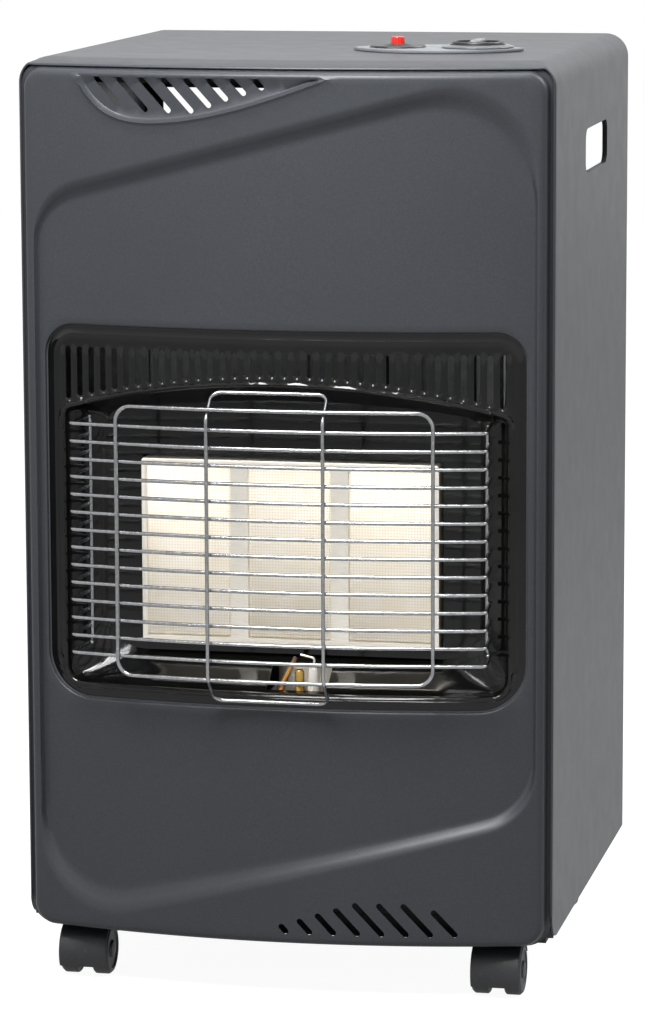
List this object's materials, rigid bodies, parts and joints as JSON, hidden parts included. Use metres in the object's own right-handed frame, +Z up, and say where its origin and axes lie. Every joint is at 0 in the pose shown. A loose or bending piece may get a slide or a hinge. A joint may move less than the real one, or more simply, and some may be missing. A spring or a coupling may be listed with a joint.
{
  "type": "portable gas cabinet heater",
  "caption": "Upright gas cabinet heater on twin-wheel castors, with a bowed front, a guarded infrared burner, a top knob and igniter, and a rear bottle bay.",
  "frame": {"origin": "on the floor, at the middle of the width and of the depth with the guard", "axes": "+X to the heater's right seen from the front, -Y out of the front, +Z up"},
  "size_m": [0.42, 0.4621, 0.741],
  "materials": {
    "cabinet_steel": "metallic grey stoved paint, semi-gloss",
    "panel_steel": "metallic grey stoved paint, semi-gloss",
    "base_steel": "black stoved paint",
    "galvanised_steel": "galvanised sheet",
    "black_enamel": "black vitreous enamel, glossy",
    "chromed_wire": "bright chromed wire",
    "stainless_steel": "bright stainless sheet",
    "burner_ceramic": "cream porous ceramic, perforated",
    "aluminised_steel": "aluminised deep-drawn steel",
    "valve_brass": "machined brass",
    "copper": "bare copper",
    "porcelain": "white glazed porcelain",
    "grey_plastic": "fine-grained moulding",
    "black_plastic": "satin black moulding",
    "wheel_plastic": "satin black moulding, worn tread",
    "red_plastic": "glossy red moulding",
    "silver_plastic": "silver plated moulding",
    "aluminium_tube": "bare drawn tube",
    "lead_sleeve": "black silicone sleeve"
  },
  "bodies": {
    "cabinet": {"cabinet_shell": "cabinet_steel", "front_panel": "panel_steel", "base_pan": "base_steel", "heat_shield": "galvanised_steel", "burner_surround": "black_enamel", "guard": "chromed_wire", "burner_frame": "stainless_steel", "plaque_left": "burner_ceramic", "plaque_centre": "burner_ceramic", "plaque_right": "burner_ceramic", "burner_housing": "aluminised_steel", "injector_rail": "valve_brass", "pilot_bracket": "stainless_steel", "pilot_burner": "stainless_steel", "thermocouple": "copper", "electrode_ceramic": "porcelain", "electrode_wire": "stainless_steel", "control_plate": "grey_plastic", "piezo_collar": "black_plastic", "piezo_body": "black_plastic", "knob_ring": "silver_plastic", "gas_valve": "valve_brass", "valve_bracket": "galvanised_steel", "hose_nozzle": "valve_brass", "gas_pipe_left": "aluminium_tube", "gas_pipe_centre": "aluminium_tube", "gas_pipe_right": "aluminium_tube", "pilot_pipe": "aluminium_tube", "thermocouple_lead": "copper", "ignition_lead": "lead_sleeve", "castor_plate_fl": "galvanised_steel", "castor_plate_fr": "galvanised_steel", "castor_plate_rl": "galvanised_steel", "castor_plate_rr": "galvanised_steel"},
    "rear_cover": {"rear_cover": "cabinet_steel"},
    "igniter": {"piezo_button": "red_plastic"},
    "spindle": {"valve_spindle": "valve_brass"},
    "knob": {"knob": "black_plastic", "knob_grip": "silver_plastic"},
    "swivel_fl": {"castor_hood_fl": "black_plastic", "castor_axle_fl": "galvanised_steel"},
    "swivel_fr": {"castor_hood_fr": "black_plastic", "castor_axle_fr": "galvanised_steel"},
    "swivel_rl": {"castor_hood_rl": "black_plastic", "castor_axle_rl": "galvanised_steel"},
    "swivel_rr": {"castor_hood_rr": "black_plastic", "castor_axle_rr": "galvanised_steel"},
    "wheel_fl_left": {"castor_wheel_fl_left": "wheel_plastic"},
    "wheel_fl_right": {"castor_wheel_fl_right": "wheel_plastic"},
    "wheel_fr_left": {"castor_wheel_fr_left": "wheel_plastic"},
    "wheel_fr_right": {"castor_wheel_fr_right": "wheel_plastic"},
    "wheel_rl_left": {"castor_wheel_rl_left": "wheel_plastic"},
    "wheel_rl_right": {"castor_wheel_rl_right": "wheel_plastic"},
    "wheel_rr_left": {"castor_wheel_rr_left": "wheel_plastic"},
    "wheel_rr_right": {"castor_wheel_rr_right": "wheel_plastic"}
  },
  "joints": [
    {"name": "cover_off", "type": "slide", "parent": "cabinet", "child": "rear_cover", "axis": [0, 1, 0], "range_m": [0, 0.12]},
    {"name": "igniter_push", "type": "slide", "parent": "cabinet", "child": "igniter", "axis": [0, 0, -1], "range_m": [0, 0.005], "stiffness_N_per_m": 1200, "springref_m": -0.003},
    {"name": "knob_push", "type": "slide", "parent": "cabinet", "child": "spindle", "axis": [0, 0, -1], "range_m": [0, 0.003], "stiffness_N_per_m": 1500, "springref_m": -0.003},
    {"name": "knob_turn", "type": "hinge", "parent": "spindle", "child": "knob", "pos_m": [0.1275, -0.039, 0.735], "axis": [0, 0, 1], "range_deg": [0, 210]},
    {"name": "swivel_fl", "type": "hinge", "parent": "cabinet", "child": "swivel_fl", "pos_m": [-0.166, -0.143, 0.036], "axis": [0, 0, 1], "continuous": true},
    {"name": "swivel_fr", "type": "hinge", "parent": "cabinet", "child": "swivel_fr", "pos_m": [0.166, -0.143, 0.036], "axis": [0, 0, 1], "continuous": true},
    {"name": "swivel_rl", "type": "hinge", "parent": "cabinet", "child": "swivel_rl", "pos_m": [-0.166, 0.143, 0.036], "axis": [0, 0, 1], "continuous": true},
    {"name": "swivel_rr", "type": "hinge", "parent": "cabinet", "child": "swivel_rr", "pos_m": [0.166, 0.143, 0.036], "axis": [0, 0, 1], "continuous": true},
    {"name": "roll_fl_left", "type": "hinge", "parent": "swivel_fl", "child": "wheel_fl_left", "pos_m": [-0.1795, -0.157, 0.02], "axis": [1, 0, 0], "continuous": true},
    {"name": "roll_fl_right", "type": "hinge", "parent": "swivel_fl", "child": "wheel_fl_right", "pos_m": [-0.1525, -0.157, 0.02], "axis": [1, 0, 0], "continuous": true},
    {"name": "roll_fr_left", "type": "hinge", "parent": "swivel_fr", "child": "wheel_fr_left", "pos_m": [0.1525, -0.157, 0.02], "axis": [1, 0, 0], "continuous": true},
    {"name": "roll_fr_right", "type": "hinge", "parent": "swivel_fr", "child": "wheel_fr_right", "pos_m": [0.1795, -0.157, 0.02], "axis": [1, 0, 0], "continuous": true},
    {"name": "roll_rl_left", "type": "hinge", "parent": "swivel_rl", "child": "wheel_rl_left", "pos_m": [-0.1795, 0.129, 0.02], "axis": [1, 0, 0], "continuous": true},
    {"name": "roll_rl_right", "type": "hinge", "parent": "swivel_rl", "child": "wheel_rl_right", "pos_m": [-0.1525, 0.129, 0.02], "axis": [1, 0, 0], "continuous": true},
    {"name": "roll_rr_left", "type": "hinge", "parent": "swivel_rr", "child": "wheel_rr_left", "pos_m": [0.1525, 0.129, 0.02], "axis": [1, 0, 0], "continuous": true},
    {"name": "roll_rr_right", "type": "hinge", "parent": "swivel_rr", "child": "wheel_rr_right", "pos_m": [0.1795, 0.129, 0.02], "axis": [1, 0, 0], "continuous": true}
  ]
}
